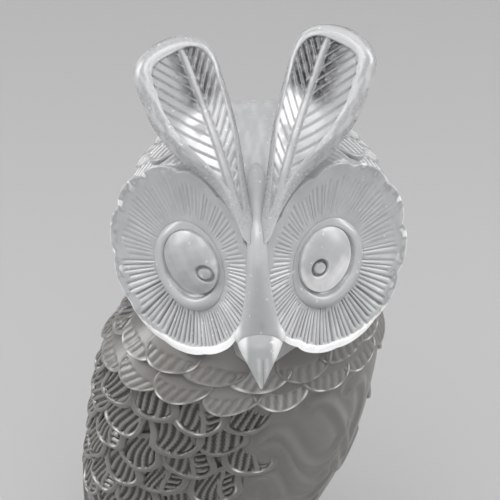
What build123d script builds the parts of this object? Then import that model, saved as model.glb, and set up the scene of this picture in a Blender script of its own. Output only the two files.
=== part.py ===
"""Carved crystal owl, standing, head turned over its right shoulder. Millimetres, +Z up.

The origin is the middle of the flat underside that the owl rests on. The face looks along -Y, and
the body is turned by BODY_YAW about +Z, so the breast looks between -Y and +X. Left and right are
the owl's own: its right side is at -X. Most pieces are modelled in one of two local frames:

- the body frame, where the breast looks along -Y, turned by BODY_YAW at the end
- the head frame, with its origin at the head's centre and the face looking along -Y. The head
  is cocked by HEAD_ROLL, its left side higher
"""

from build123d import *
import math
import os

# Driving dimensions
BODY_YAW = 30.0
HEAD_HEIGHT = 76.0
HEAD_REACH = 16.0
HEAD_ROLL = 1.5
NECK_HEIGHT = 66.0

# Outer surface of the feathered body: height, centre along Y, half width, half depth
BODY_SECTIONS = [
    (0.0, 8.0, 12.0, 13.0),
    (12.0, 4.6, 16.5, 16.5),
    (25.0, 0.2, 19.8, 18.6),
    (38.0, -5.4, 21.2, 19.5),
    (51.0, -9.4, 21.9, 19.0),
    (60.0, -12.0, 21.2, 18.0),
    (68.0, -15.0, 17.3, 15.0),
]
LOFT_STEPS = 12
FEATHER_THICK = 1.0
FEATHER_GAP = 0.3
CLADDING_OUTER = FEATHER_THICK + 2 * FEATHER_GAP
CLADDING_INNER = CLADDING_OUTER + 1.5
CLADDING_FOOT = 3.0

# Lower edge of the wings at the body's middle, and its fall towards the tail
WING_HEM = 18.0
WING_HEM_SLOPE = 25.0

# Azimuths on the body, from the breast's centre line towards the owl's left, degrees
BREAST_RIGHT_EDGE = -20.0
BREAST_LEFT_EDGE = 56.0
BACK_LEFT_EDGE = 160.0
BACK_RIGHT_EDGE = 200.0
RUFF_RIGHT_EDGE = -108.0
RUFF_LEFT_EDGE = 84.0

# Rows of body feathers from the neck down: height of the first roots, then of each row's tips
ROW_TOP = 65.6
ROW_TIPS = [62.2, 58.4, 54.0, 49.2, 44.2, 39.2, 34.2, 28.8]
ROW_GAP = 0.4
ROW_COUNT = 16
ROW_WIDTH = 6.2

# Head, in the head frame
HEAD_RADII = (18.5, 17.0)
HEAD_BACK = 4.0
BROW_HEIGHT = 12.0
BROW_FRONT = -17.6
BROW_RADII = (19.5, 25.0)
CROWN_SLOPE = 12.0

# Facial discs and eyes, in the head frame
DISC_CENTRE = (10.4, -10.0, 4.3)
DISC_RADIUS = 13.2
DISC_NOTCH = 0.6
DISC_LOBES = 11
DISC_THICK = 3.0
DISC_DISH = 1.0
DISC_YAW = 42.0
DISC_TILT = 9.0
EYE_SHIFT = 1.5
RING_RADIUS = 5.9
RING_BORE = 4.75
RING_PROUD = 0.9
EYE_RADIUS = 4.6
EYE_DOME = 2.0
PUPIL_OUTER = 1.37
PUPIL_INNER = 0.8
PUPIL_DEPTH = 0.5
PUPIL_SHIFT_RIGHT = (3.0, -0.3)
PUPIL_SHIFT_LEFT = (-2.0, -0.2)

# Brow ridge and beak, in the head frame
RIDGE_HALF = 1.85
RIDGE_BOTTOM = -3.3
BEAK_LENGTH = 6.4
BEAK_HALF_WIDTH = 2.8

# Ear tufts, in the head frame: root, direction to the tip, turn about that direction
EAR_ROOT = (0.9, -17.3, 11.5)
EAR_RUN = (10.0, 15.3, 22.0)
EAR_THICK = 4.0
EAR_EDGE = 0.6
EAR_TURN = -17.0
# Outline of the left ear: across from its centre line (outwards is +), and up from its root
EAR_OUTER = [(0.6, 0.0), (0.8, 5.0), (2.4, 10.3), (4.5, 14.0), (6.2, 19.5), (6.0, 24.5), (4.3, 28.0)]
EAR_TIP = (0.4, 29.8)
EAR_INNER = [(-3.6, 27.2), (-4.7, 23.0), (-4.1, 15.5), (-2.5, 7.6), (-0.9, 0.0)]

BODY = Rot(0, 0, BODY_YAW)
HEAD = BODY * Pos(0, -HEAD_REACH, HEAD_HEIGHT) * Rot(0, 0, -BODY_YAW) * Rot(0, -HEAD_ROLL, 0)
RIGHT = -1
LEFT = 1


def export(name, location, shapes):
    """Write one node: every solid in shapes, placed by location."""
    solids = [solid for shape in shapes for solid in shape.solids()]
    placed = [location * solid for solid in solids]
    node = placed[0] if len(placed) == 1 else Compound(children=placed)
    node.label = name
    export_step(node, f"parts/{name}.step")
    print(name, len(placed))


def largest(shape):
    """The largest solid of a cut shape, so that no crumb is kept."""
    return max(shape.solids(), key=lambda solid: solid.volume)


def side_mirror(shape):
    """The same piece on the owl's other side."""
    return mirror(shape, about=Plane.YZ)


# Body surface

def body_section(height):
    """Centre, half width and half depth of the body at a height: a cubic through the sections."""
    rows = BODY_SECTIONS
    last = len(rows) - 1
    at = max(i for i in range(last) if rows[i][0] <= max(height, 0.0))
    low, high = rows[at], rows[at + 1]
    before, after = rows[max(at - 1, 0)], rows[min(at + 2, last)]
    span = high[0] - low[0]
    t = (height - low[0]) / span
    values = []
    for k in (1, 2, 3):
        slope_low = (high[k] - before[k]) / (high[0] - before[0]) * span
        slope_high = (after[k] - low[k]) / (after[0] - low[0]) * span
        values.append(
            low[k] * (2 * t**3 - 3 * t**2 + 1)
            + high[k] * (3 * t**2 - 2 * t**3)
            + slope_low * (t**3 - 2 * t**2 + t)
            + slope_high * (t**3 - t**2)
        )
    return values


def body_point(azimuth, height, inset=0.0):
    """A point on the body, azimuth degrees from the breast's centre line to the owl's left."""
    centre, half_width, half_depth = body_section(height)
    angle = math.radians(azimuth)
    x = (half_width - inset) * math.sin(angle)
    y = centre - (half_depth - inset) * math.cos(angle)
    return Vector(x, y, height)


def body_plane(azimuth, height, inset, lift=FEATHER_GAP):
    """Tangent plane of the inset body: X runs round it, Y runs up it and Z points out."""
    step = 0.5
    round_it = body_point(azimuth + step, height, inset) - body_point(azimuth - step, height, inset)
    up_it = body_point(azimuth, height + step, inset) - body_point(azimuth, height - step, inset)
    out = round_it.cross(up_it).normalized()
    return Plane(body_point(azimuth, height, inset) + out * lift, x_dir=round_it, z_dir=out)


def body_solid(inset, bottom, top):
    """The body between two heights, smaller by inset all round."""
    sketches = []
    for i in range(LOFT_STEPS):
        height = bottom + (top - bottom) * i / (LOFT_STEPS - 1)
        centre, half_width, half_depth = body_section(height)
        sketches.append(Pos(0, centre, height) * Ellipse(half_width - inset, half_depth - inset))
    return loft(sketches)


def sector(start, end, reach=60.0):
    """A vertical wedge about the body's middle, between two azimuths under 180 degrees apart."""
    corners = [(0.0, 0.0)]
    for azimuth in (start, (start + end) / 2, end):
        angle = math.radians(azimuth)
        corners.append((reach * math.sin(angle), -reach * math.cos(angle)))
    return Pos(0, 0, -1) * extrude(Polygon(*corners, align=None), amount=HEAD_HEIGHT)


# Feathers

def feather(width, length, thick=FEATHER_THICK):
    """A U-shaped plate on the XY plane: square root at the top, round tip at -Y."""
    root = Pos(0, (width / 2) / 2) * Rectangle(width, length - width / 2)
    tip = Circle(width / 2) & Pos(0, -width / 2) * Rectangle(width, width)
    return extrude(root + Pos(0, (width - length) / 2) * tip, amount=thick)


def feather_row(height, azimuths, width, length, tilt=5.0):
    """One row of feathers laid on the cladding, tips down and a little lifted."""
    blade = feather(width, length)
    hinge = Pos(0, length / 2, 0) * Rot(-tilt, 0, 0) * Pos(0, -length / 2, 0)
    row = []
    for azimuth in azimuths:
        row.append(body_plane(azimuth, height, CLADDING_OUTER).location * hinge * blade)
    return row


def spread(start, end, count):
    """count azimuths in the middles of equal steps from start to end."""
    step = (end - start) / count
    return [start + step * (i + 0.5) for i in range(count)]


def row_azimuths(height, shift):
    """Azimuths of ROW_COUNT feathers evenly spaced round the body, shift of a step past the tail."""
    girth = [0.0]
    for azimuth in range(-179, 181):
        here = body_point(azimuth, height, CLADDING_OUTER)
        girth.append(girth[-1] + (here - body_point(azimuth - 1, height, CLADDING_OUTER)).length)
    azimuths = []
    for i in range(ROW_COUNT):
        wanted = girth[-1] * (i + shift) / ROW_COUNT
        at = next(k for k in range(1, 361) if girth[k] > wanted)
        part = (wanted - girth[at - 1]) / (girth[at] - girth[at - 1])
        azimuths.append(at - 181 + part)
    return azimuths


# Head

def spheroid(across, along):
    """A round solid with its axis along Y."""
    half = Ellipse(across, along) & Pos(across, 0) * Rectangle(2 * across, 4 * along)
    return revolve(half, axis=Axis.Y)


def head_blank():
    """Rounded skull with a wedge-shaped front and a sloping forehead, before it is cut."""
    skull = Pos(0, HEAD_BACK, 0) * spheroid(*HEAD_RADII)
    wedge_plan = Polygon((-13, -2), (0, BROW_FRONT), (13, -2), (0, 4), align=None)
    wedge = Pos(0, 0, -9) * extrude(wedge_plan, amount=9 + HEAD_RADII[0])
    over_brow = Pos(0, BROW_FRONT, BROW_HEIGHT) * Rot(CROWN_SLOPE, 0, 0)
    wedge -= over_brow * Pos(0, 20, 20) * Box(80, 80, 40)
    return skull + (wedge & Pos(0, 2, 0) * spheroid(*BROW_RADII))


def disc_location(side):
    """Front of a facial disc: Z points out of the face, X towards the owl's left."""
    x, y, z = DISC_CENTRE
    return Pos(side * x, y, z) * Rot(0, 0, side * DISC_YAW) * Rot(90 - DISC_TILT, 0, 0)


def eye_location(side):
    return disc_location(side) * Pos(-side * EYE_SHIFT, 0, 0)


def beyond_disc(side):
    """Everything in front of the flat that a disc is seated on."""
    return disc_location(side) * Pos(0, 0, 30 - DISC_THICK) * Box(80, 80, 60)


def ridge_prism():
    """Brow ridge between the discs, from the brow down to the beak."""
    depth = 6.0
    height = BROW_HEIGHT - RIDGE_BOTTOM
    middle = Pos(0, BROW_FRONT - 0.6 + depth / 2, RIDGE_BOTTOM + height / 2)
    block = middle * Box(2 * RIDGE_HALF, depth, height)
    front_edges = block.edges().filter_by(Axis.Z).group_by(Axis.Y)[0]
    return fillet(front_edges, RIDGE_HALF * 0.7)


def make_head(ridge, beak):
    head = head_blank() - beyond_disc(RIGHT) - beyond_disc(LEFT) - ridge - beak
    under_neck = Rot(0, HEAD_ROLL, 0) * Pos(0, 0, NECK_HEIGHT - HEAD_HEIGHT - 20) * Box(80, 80, 40)
    return largest(head - under_neck)


def make_disc(side, ear, beak):
    """Dished disc with a scalloped rim and a bore for the eye ring."""
    rim = []
    step = 360.0 / DISC_LOBES
    for i in range(DISC_LOBES):
        start, middle, end = (math.radians(step * (i + part)) for part in (0.0, 0.5, 1.0))
        notch = DISC_RADIUS - DISC_NOTCH
        rim.append(
            ThreePointArc(
                (notch * math.cos(start), notch * math.sin(start)),
                (DISC_RADIUS * math.cos(middle), DISC_RADIUS * math.sin(middle)),
                (notch * math.cos(end), notch * math.sin(end)),
            )
        )
    blank = Pos(0, 0, -DISC_THICK) * extrude(make_face(rim), amount=DISC_THICK)
    dish_radius = (DISC_RADIUS**2 + DISC_DISH**2) / (2 * DISC_DISH)
    blank -= Pos(0, 0, dish_radius - DISC_DISH) * Sphere(dish_radius)
    disc = disc_location(side) * blank
    disc -= eye_location(side) * Cylinder(RING_RADIUS, 4 * DISC_THICK)
    ridge_space = Pos(-side * (20 - RIDGE_HALF), 0, 0) * Box(40, 80, 80)
    return largest(disc - ridge_space - ear - beak)


def make_eye_ring(side, ear):
    ring = Cylinder(RING_RADIUS, DISC_THICK + RING_PROUD)
    ring = fillet(ring.edges().group_by(Axis.Z)[-1], 0.5)
    ring -= Cylinder(RING_BORE, 4 * DISC_THICK)
    middle = (RING_PROUD - DISC_THICK) / 2
    ridge_space = Pos(-side * (20 - RIDGE_HALF), 0, 0) * Box(40, 80, 80)
    return largest(eye_location(side) * Pos(0, 0, middle) * ring - ridge_space - ear)


def make_eye(side, pupil_shift):
    """Domed eye with the ring-shaped groove that a tube drill leaves for the pupil."""
    dome_radius = (EYE_RADIUS**2 + EYE_DOME**2) / (2 * EYE_DOME)
    stem = Pos(0, 0, -DISC_THICK / 2) * Cylinder(EYE_RADIUS, DISC_THICK)
    dome = Pos(0, 0, EYE_DOME - dome_radius) * Sphere(dome_radius)
    dome &= Pos(0, 0, EYE_DOME) * Cylinder(EYE_RADIUS, 2 * EYE_DOME)
    groove = Cylinder(PUPIL_OUTER, 2) - Cylinder(PUPIL_INNER, 2)
    off_centre = math.hypot(*pupil_shift)
    floor = dome_radius * math.cos(math.asin(off_centre / dome_radius)) - dome_radius
    eye = stem + dome
    eye -= Pos(*pupil_shift, EYE_DOME + floor - PUPIL_DEPTH + 1) * groove
    return largest(eye_location(side) * eye)


def make_beak():
    """Hooked beak under the brow ridge, pointed and thicker towards its front edge."""
    sections = [
        (0.0, -18.3, 1.0, 2.6),
        (0.3, -18.9, 0.9, 2.4),
        (0.7, -19.6, 0.5, 1.5),
        (1.0, -20.0, 0.12, 0.45),
    ]
    sketches = []
    for run, y, narrow, depth in sections:
        z = RIDGE_BOTTOM - 0.05 - run * BEAK_LENGTH
        sketches.append(Pos(0, y + depth / 2, z) * Ellipse(BEAK_HALF_WIDTH * narrow, depth))
    return loft(sketches)


def make_ear():
    """Left ear tuft: a thick leaf with rounded edges, leaning back and out."""
    root = Line(EAR_INNER[-1], EAR_OUTER[0])
    edge = Spline([*EAR_OUTER, EAR_TIP, *EAR_INNER])
    leaf = extrude(make_face([root, edge]), amount=EAR_THICK / 2, both=True)
    rim = leaf.edges().filter_by(GeomType.BSPLINE)
    leaf = fillet(rim, EAR_EDGE)
    along = Vector(*EAR_RUN).normalized()
    out = Vector(0, -1, 0.66)
    out = (out - along * out.dot(along)).normalized()
    plane = Plane(Vector(*EAR_ROOT), x_dir=along.cross(out), z_dir=out)
    return plane.location * Rot(0, EAR_TURN, 0) * leaf


def head_plane(azimuth, elevation, lift):
    """Tangent plane of the skull, azimuth degrees from the gaze towards the owl's left."""
    turn, rise = math.radians(azimuth), math.radians(elevation)
    unit = Vector(
        math.cos(rise) * math.sin(turn), -math.cos(rise) * math.cos(turn), math.sin(rise)
    )
    across, along = HEAD_RADII
    point = Vector(unit.X * across, unit.Y * along + HEAD_BACK, unit.Z * across)
    out = Vector(unit.X / across, unit.Y / along, unit.Z / across).normalized()
    level = Vector(0, 0, 1).cross(out)
    return Plane(point + out * lift, x_dir=level, z_dir=out)


def head_feathers(rows, width, length):
    """Rows of small feathers on the skull: (elevation, first azimuth, last azimuth, count)."""
    blade = feather(width, length)
    made = []
    for elevation, start, end, count in rows:
        for azimuth in spread(start, end, count):
            made.append(head_plane(azimuth, elevation, FEATHER_GAP).location * blade)
    return made


# Tail and feet, in the body frame

def make_tail():
    """Five long tail feathers side by side, cut flat where they reach the ground."""
    width, length = 5.0, 30.0
    blades = []
    for i in (-2, -1, 0, 1, 2):
        blade = feather(width, length, thick=2.2)
        plane = body_plane(180 + 15.5 * i, 15.0, 0.0, lift=0.3)
        blades.append(plane.location * Rot(0, 0, 2.5 * i) * Pos(0, -1.5, 0) * blade)
    ground = Pos(0, 0, -20) * Box(120, 120, 40)
    return [blade - ground for blade in blades]


def make_foot(side, body):
    """Three thick toes on the ground in front of the body."""
    toe_length, toe_width, toe_height = 15.0, 4.4, 4.6
    toes = None
    for turn in (-10, 12, 34):
        toe = extrude(SlotOverall(toe_length, toe_width, rotation=90), amount=toe_height)
        toe = fillet(toe.edges().group_by(Axis.Z)[-1], 1.6)
        toe = Pos(side * 6.0, 3, 0) * Rot(0, 0, side * turn) * Pos(0, -toe_length / 2, 0) * toe
        toes = toe if toes is None else toes + toe
    return largest(toes - body)


def make_scallops():
    """Raised S-shaped scallops on the smooth breast, each a bent bar."""
    bars = []
    for height, azimuth, width in ((49.7, 13, 14), (40.5, 5, 12), (40.5, 39.5, 10.5), (31.5, 14, 13)):
        radius = width / 2
        ring = Circle(radius) - Circle(radius - 1.1)
        ring -= Pos(0, radius) * Rectangle(3 * radius, 2 * radius)
        plane = body_plane(azimuth, height, CLADDING_OUTER, lift=0.3)
        bars.append(plane.location * extrude(ring, amount=0.6))
    return bars


def build_body():
    """Torso and its cladding. Returns the body with the cladding on, as the feet meet it."""
    torso = body_solid(CLADDING_INNER, 0.0, NECK_HEIGHT)
    clad_body = body_solid(CLADDING_OUTER, CLADDING_FOOT, NECK_HEIGHT)
    cladding = clad_body - torso
    wing_hem = Pos(0, 0, WING_HEM) * Rot(-WING_HEM_SLOPE, 0, 0) * Pos(0, 0, -40) * Box(120, 160, 80)
    wing_right = largest((cladding & sector(BACK_RIGHT_EDGE, 360 + BREAST_RIGHT_EDGE)) - wing_hem)
    wing_left = largest((cladding & sector(BREAST_LEFT_EDGE, BACK_LEFT_EDGE)) - wing_hem)
    mantle = largest(cladding & sector(BACK_LEFT_EDGE, BACK_RIGHT_EDGE))
    breast = largest(cladding - wing_right - wing_left - mantle)
    export("torso", BODY, [torso])
    export("wing_right", BODY, [wing_right])
    export("wing_left", BODY, [wing_left])
    export("mantle", BODY, [mantle])
    export("breast", BODY, [breast])
    export("breast_scallops", BODY, make_scallops())
    return torso + clad_body


def build_feathers():
    """Ruff, coverts, back feathers and flight feathers, a row to a node."""
    top = ROW_TOP
    for number, tip in enumerate(ROW_TIPS, 1):
        height, length = (top + tip) / 2, top - tip - ROW_GAP
        azimuths = row_azimuths(height, 0.5 * ((number + 1) % 2))
        if number <= 2:
            front = [a for a in azimuths if RUFF_RIGHT_EDGE < a < RUFF_LEFT_EDGE]
            sets = {f"ruff_row_{'upper' if number == 1 else 'lower'}": front}
        else:
            right = [a for a in azimuths if BACK_RIGHT_EDGE - 355 < a < BREAST_RIGHT_EDGE]
            left = [a for a in azimuths if BREAST_LEFT_EDGE < a < BACK_LEFT_EDGE - 5]
            sets = {f"coverts_right_row_{number - 2}": right, f"coverts_left_row_{number - 2}": left}
            front = right + left + [a for a in azimuths if BREAST_RIGHT_EDGE <= a <= BREAST_LEFT_EDGE]
        sets[f"back_feathers_row_{number}"] = [a for a in azimuths if a not in front]
        for name, places in sets.items():
            export(name, BODY, feather_row(height, places, ROW_WIDTH, length))
        top = tip
    for side, name in ((RIGHT, "right"), (LEFT, "left")):
        azimuths = [side * azimuth for azimuth in spread(56, 136, 5)]
        export(f"flight_feathers_{name}", BODY, feather_row(18.2, azimuths, 5.6, 18.4, tilt=3.0))


def build_head():
    ridge = ridge_prism()
    beak = make_beak()
    head = make_head(ridge, beak)
    export("head", HEAD, [head])
    export("brow_ridge", HEAD, [ridge])
    export("beak", HEAD, [beak])
    nape = [(24, 137, 223, 5), (2, 126, 234, 7)]
    export("nape_feathers", HEAD, head_feathers(nape, 6.4, 6.6))
    ear_left = make_ear()
    for side, name, ear in ((RIGHT, "right", side_mirror(ear_left)), (LEFT, "left", ear_left)):
        ear = largest(ear - head - ridge)
        shift = PUPIL_SHIFT_RIGHT if side == RIGHT else PUPIL_SHIFT_LEFT
        export(f"ear_tuft_{name}", HEAD, [ear])
        export(f"facial_disc_{name}", HEAD, [make_disc(side, ear, beak)])
        export(f"eye_ring_{name}", HEAD, [make_eye_ring(side, ear)])
        export(f"eye_{name}", HEAD, [make_eye(side, shift)])
        cheek_rows = [(36, side * 86, side * 121, 3), (12, side * 97, side * 121, 2)]
        cheek = head_feathers(cheek_rows, 5.0, 5.4)
        export(f"cheek_feathers_{name}", HEAD, cheek)


def main():
    os.makedirs("parts", exist_ok=True)
    body = build_body()
    build_feathers()
    build_head()
    export("tail", BODY, make_tail())
    export("foot_right", BODY, [make_foot(RIGHT, body)])
    export("foot_left", BODY, [make_foot(LEFT, body)])


main()
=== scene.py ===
"""Carved crystal owl: the carved surfaces, the material, the light and the camera.

Lengths are millimetres, and become metres where an object is made. Left and right are the owl's
own. Azimuths are degrees from straight ahead towards the owl's left. Every carved point carries
"frost": 0 is polished clear crystal, 1 is ground white. In places frost also carries painted
light and shade: highlights painted white and shade painted darker, marked where they are set.
"""

import math

import bpy
import bmesh
import numpy as np
from mathutils import Matrix


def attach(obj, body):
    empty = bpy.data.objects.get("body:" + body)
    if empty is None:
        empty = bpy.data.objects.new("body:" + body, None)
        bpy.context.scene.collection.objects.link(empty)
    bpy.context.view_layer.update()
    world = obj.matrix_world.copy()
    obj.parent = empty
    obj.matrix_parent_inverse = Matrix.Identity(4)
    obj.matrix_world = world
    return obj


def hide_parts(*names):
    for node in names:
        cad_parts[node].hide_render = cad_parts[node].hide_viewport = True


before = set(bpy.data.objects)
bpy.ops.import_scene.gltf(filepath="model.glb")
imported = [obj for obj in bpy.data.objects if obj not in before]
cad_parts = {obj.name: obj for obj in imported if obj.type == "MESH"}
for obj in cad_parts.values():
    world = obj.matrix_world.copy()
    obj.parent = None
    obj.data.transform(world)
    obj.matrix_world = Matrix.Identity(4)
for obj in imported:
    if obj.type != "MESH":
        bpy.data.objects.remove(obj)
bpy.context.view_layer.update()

MM = 0.001
RIGHT, LEFT = -1, 1
SIDES = ((RIGHT, "right"), (LEFT, "left"))
rng = np.random.default_rng(7)

# The face looks along -Y, the breast BODY_YAW degrees further to the owl's left
BODY_YAW, HEAD_ROLL = 30.0, 1.5
HEAD_HEIGHT, HEAD_REACH = 76.0, 16.0

# Outer surface of the body: height, centre along Y, half width, half depth
BODY_SECTIONS = np.array(
    [
        (0.0, 8.0, 12.0, 13.0),
        (12.0, 4.6, 16.5, 16.5),
        (25.0, 0.2, 19.8, 18.6),
        (38.0, -5.4, 21.2, 19.5),
        (51.0, -9.4, 21.9, 19.0),
        (60.0, -12.0, 21.2, 18.0),
        (68.0, -15.0, 17.3, 15.0),
    ]
)

# Depth of the feathers' bed under the outer surface
CLADDING = 1.6

# Azimuths between which each part of the body lies
BREAST_EDGES = (-20.0, 56.0)
BACK_EDGES = (160.0, 200.0)
RUFF_EDGES = (-108.0, 84.0)

# Feather rows: height of the first row's top and of every row's tips
ROW_TOP = 65.6
ROW_TIPS = (62.2, 58.4, 54.0, 49.2, 44.2, 39.2, 34.2, 28.8)
ROW_OVERLAP, ROW_COUNT, COVERT_WIDTH = 2.4, 16, 7.9

# The ruff's rows, with the length that the discs hide
RUFF_ROWS = (("ruff_row_upper", 3.2), ("ruff_row_lower", 0.0))

# Flight and tail feathers
LONG_FEATHER = dict(band=0.7, rachis=0.0, pitch=1.3, glint=0.3, ground=0.15)
TOE_TURNS, TOE_LENGTH, TOE_SIZE = (-10, 12, 34), 15.0, 2.2
ABOVE_FLOOR = 0.02

# Raised lines on the smooth breast: (azimuth, height) points
BREAST_LINES = [
    [(-19, 51), (-16, 52.4), (-12, 53), (-8.5, 52.5), (-6, 51.3), (-3.4, 49.6), (-0.4, 47.4),
     (3.8, 44.9), (8, 43.3), (13.4, 42.4), (18.4, 42.6), (23.6, 44), (28, 47)],
    [(-19.5, 50), (-14, 50.4), (-9, 49.9), (-5.8, 48.5), (-2.9, 45.8), (1.6, 42.2), (8, 39),
     (15, 37.4), (22, 37.8)],
    [(3, 56.5), (8, 56.4), (13, 55), (18, 52.4), (23.5, 49), (28, 45.5), (35, 40.5)],
    [(25, 55.5), (30, 55.8), (35, 54), (38.5, 50), (38, 46.5), (35, 43), (35, 39)],
    [(-20, 43), (-15, 44.5), (-10, 43.8), (-6, 41), (-2, 37.5), (4, 34.5), (12, 33), (20, 33.6),
     (27, 37)],
    [(28, 39), (33, 36), (40, 34.8), (47, 36.5), (51, 40)],
    [(-19, 37), (-13, 35.5), (-7, 32), (0, 28.5), (9, 26.5), (18, 27.5), (25, 31)],
]

# Head
SKULL_RADIUS, SKULL_DEPTH, SKULL_BACK = 18.5, 17.0, 4.0
DISC_CENTRE = np.array((10.4, -10.0, 4.3))
DISC_RADIUS, DISC_NOTCH, DISC_LOBES = 13.2, 0.6, 11
DISC_THICK, DISC_DISH = 3.0, 1.0
DISC_YAW, DISC_TILT = 42.0, 9.0
GROOVES, GROOVE_RAYS, DISC_RINGS = 90, 10, 50
ROUND_STEPS = 120
EYE_SHIFT = 1.5
RING_RADIUS, RING_BORE, RING_CREEP = 5.9, 4.75, 0.6
EYE_RADIUS, EYE_DOME, EYE_FLATTEN, EYE_SINK = 4.6, 2.0, 0.62, 0.1
EYE_CROWD = (0.25, 0.5)
EYE_SCALE = {RIGHT: (1.04, 0.93), LEFT: (0.97, 0.97)}
PUPIL_INNER, PUPIL_OUTER, PUPIL_DEPTH = 0.8, 1.28, 0.4
PUPIL_SHIFT = {RIGHT: (3.0, -0.3), LEFT: (-2.0, -0.2)}

# Section of the ring round an eye: radius, height, frost
RING_PROFILE = [
    (0.5, -1.6, 0.5),
    (RING_BORE - 0.9, -0.75, 0.56),
    (RING_BORE - 0.35, -0.55, 0.52),
    (RING_BORE - 0.1, -0.35, 0.46),
    (RING_BORE, -0.02, 0.5),
    (RING_BORE + 0.12, 0.12, 0.64),
    (RING_BORE + 0.35, 0.2, 0.66),
    (RING_BORE + 0.65, 0.18, 0.63),
    (RING_BORE + 0.95, 0.05, 0.6),
    (RING_RADIUS + 0.15, -0.3, 0.59),
    (RING_RADIUS + 0.3, -0.6, 0.58),
    (RING_RADIUS + 0.3, -DISC_THICK, 0.5),
    (0.5, -DISC_THICK, 0.5),
]

# Each eye's frost, what is added lower down, what the pupil ring takes off, and the clouds in it
EYE_FROST = {RIGHT: (0.58, 0.02, 0.2, 0.14), LEFT: (0.62, 0.22, 0.45, 0.06)}

# Small feathers on the skull: elevation, first and last azimuth and count of each row
CHEEK_ROWS = ((50, 80, 116, 2), (38, 82, 122, 3), (24, 88, 121, 2), (10, 95, 120, 2), (-4, 98, 122, 2))
NAPE_ROWS = ((38, 122, 238, 5), (24, 121, 239, 6), (10, 120, 240, 7), (-4, 122, 238, 6))

# Brow ridge and beak in the middle plane: y, z, half width, thickness in front
RIDGE_PATH = [
    (-1.0, 16.0, 0.7, 0.3),
    (-5.5, 15.3, 1.0, 0.9),
    (-9.5, 14.4, 1.2, 1.3),
    (-13.0, 13.2, 1.3, 1.6),
    (-15.6, 11.6, 1.35, 1.75),
    (-17.1, 9.0, 1.4, 1.75),
    (-17.7, 5.6, 1.6, 1.6),
    (-17.8, 2.4, 2.0, 1.45),
    (-17.8, -0.4, 2.55, 1.3),
    (-17.9, -2.4, 3.4, 1.2),
    (-17.9, -3.7, 2.9, 0.95),
    (-17.7, -5.0, 1.6, 0.3),
]
BEAK_PATH = [
    (-16.9, -0.2, 1.6, 0.8),
    (-17.3, -2.0, 2.7, 1.9),
    (-17.6, -3.4, 3.05, 2.4),
    (-18.0, -5.2, 2.45, 2.3),
    (-18.5, -7.0, 1.6, 1.9),
    (-19.1, -8.6, 0.8, 1.2),
    (-19.8, -9.7, 0.12, 0.4),
]
CREASE_X = 0.35

# Ear tufts
EAR_ROOT = np.array((0.9, -17.3, 11.5))
EAR_RUN = np.array((10.0, 15.3, 22.0))
EAR_THICK, EAR_TURN, EAR_LENGTH = 4.0, -17.0, 29.8
EAR_OUTER = [(0.0, 0.6), (5.0, 0.8), (10.3, 2.4), (14.0, 4.5), (19.5, 6.3), (24.2, 6.4)]
EAR_INNER = [(0.0, -0.9), (7.6, -2.5), (15.5, -4.1), (24.2, -5.0)]
EAR_TIP = (29.8, 0.4)
EAR_STRETCH = {RIGHT: 0.96, LEFT: 1.0}
EAR_RIM, EAR_GRID = 1.4, (120, 230)

# Half width and frost of the clear patch near each ear's tip
EAR_GLASS = {RIGHT: (2.2, 0.1), LEFT: (3.3, 0.0)}

# Crystal: frost of the middle tone, and the frost above which no light passes
GROUND_FROST, OPAQUE_FROST = 0.65, 0.42
# Body tones: the head's crystal painted darker as shade, and slightly warm
SHADED_BODY_TONES = dict(
    clear=(0.012, 0.012, 0.011), ground=(0.2, 0.191, 0.182), white=(0.85, 0.84, 0.83), through=0.3
)

# Camera, aimed at the head: the view's width at the head, and the aim's shift right and up
VIEW_ELEVATION, VIEW_DISTANCE, VIEW_WIDTH = 33.0, 350.0, 68.5
VIEW_OFFSET = (-1.23, -0.55)
SENSOR_WIDTH = 36.0

# Area lights, all aimed at the head: place from the head, width and height, power in watts
LIGHTS = {
    "key": ((-10, -140, 300), (300, 220), 1.15),
    "right_strip": ((-760, 150, 330), (300, 680), 4.8),
    "left_strip": ((760, 150, 330), (300, 680), 4.8),
    "front_fill": ((0, -800, 120), (650, 280), 1.5),
}
WORLD_LIGHT = 0.3
FLOOR_REACH, FLOOR_GREY = 6000.0, 0.42


# Frames and small helpers

def turn(axis, degrees):
    """Rotation matrix about x, y or z."""
    c, s = math.cos(math.radians(degrees)), math.sin(math.radians(degrees))
    if axis == "x":
        return np.array([[1, 0, 0], [0, c, -s], [0, s, c]])
    if axis == "y":
        return np.array([[c, 0, s], [0, 1, 0], [-s, 0, c]])
    return np.array([[c, -s, 0], [s, c, 0], [0, 0, 1]])


BODY_TURN = turn("z", BODY_YAW)
HEAD_ORIGIN = BODY_TURN @ np.array((0, -HEAD_REACH, HEAD_HEIGHT))
HEAD_TURN = turn("y", -HEAD_ROLL)


def from_body(points):
    """Body coordinates to the part's own."""
    return points @ BODY_TURN.T


def from_head(points):
    """Head coordinates to the part's own."""
    return points @ HEAD_TURN.T + HEAD_ORIGIN


def smooth(low, high, value):
    """0 at low, 1 at high, a smooth step between, and held beyond them."""
    t = np.clip((value - low) / (high - low), 0, 1)
    return t * t * (3 - 2 * t)


def mix(a, b, t):
    """From a to b as t goes from 0 to 1."""
    return a + (b - a) * t


def bell(value, middle, width):
    """1 at the middle, falling to 0 in about twice the width."""
    return np.exp(-(((value - middle) / width) ** 2))


def normalised(v):
    return v / np.linalg.norm(v, axis=-1, keepdims=True)


def circle(steps):
    """Evenly spaced angles, once round."""
    return np.linspace(0, 2 * math.pi, steps, endpoint=False)


def ripple(x, y, scale, seed):
    """Slow smooth variation between 0 and 1."""
    phase = np.random.default_rng(seed).uniform(0, 6.28, 4)
    x, y = x / scale, y / scale
    total = np.sin(x + 1.3 * y + phase[0]) + np.sin(1.7 * x - y + phase[1])
    total = total + np.sin(2.6 * x + 2.1 * y + phase[2]) * 0.7
    total = total + np.sin(3.9 * y - 2.3 * x + phase[3]) * 0.5
    return 0.5 + 0.5 * np.clip(total / 2.2, -1, 1)


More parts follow.
